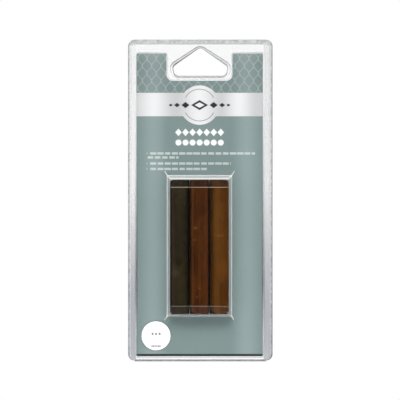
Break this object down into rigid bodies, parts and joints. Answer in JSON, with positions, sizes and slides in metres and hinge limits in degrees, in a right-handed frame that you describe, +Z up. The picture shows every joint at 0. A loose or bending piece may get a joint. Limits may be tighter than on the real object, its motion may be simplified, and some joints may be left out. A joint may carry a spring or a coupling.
{
  "type": "furniture repair wax stick pack",
  "caption": "Furniture repair wax sticks side by side in a clear fold-over hang pack with an insert card and a roof-shaped peg hole.",
  "frame": {"origin": "peak of the peg hole, on the plane of the pack's back", "axes": "+Z up the pack as it hangs, +X to the right seen from the front, the front faces -Y"},
  "size_m": [0.072, 0.0133, 0.1605],
  "materials": {
    "clear_sheet": "clear thermoformed sheet, glossy",
    "printed_card": "printed and coated, satin",
    "label_paper": "matt",
    "wax_dark": "cast wax, dull sheen",
    "wax_mid": "cast wax, dull sheen",
    "wax_light": "cast wax, dull sheen"
  },
  "bodies": {
    "back": {"back_shell": "clear_sheet", "insert_card": "printed_card", "living_hinge": "clear_sheet"},
    "front": {"front_shell": "clear_sheet", "shade_label": "label_paper"},
    "stick_dark": {"wax_stick_dark": "wax_dark"},
    "stick_mid": {"wax_stick_mid": "wax_mid"},
    "stick_light": {"wax_stick_light": "wax_light"}
  },
  "joints": [
    {"name": "front_hinge", "type": "hinge", "parent": "back", "child": "front", "pos_m": [0, -0.0005, -0.1559], "axis": [1, 0, 0], "range_deg": [0, 180], "deforming": ["living_hinge"]},
    {"name": "dark_stick_slide", "type": "slide", "parent": "front", "child": "stick_dark", "axis": [0, 0, 1], "range_m": [0, 0.0006]},
    {"name": "mid_stick_slide", "type": "slide", "parent": "front", "child": "stick_mid", "axis": [0, 0, 1], "range_m": [0, 0.0006]},
    {"name": "light_stick_slide", "type": "slide", "parent": "front", "child": "stick_light", "axis": [0, 0, 1], "range_m": [0, 0.0006]}
  ]
}
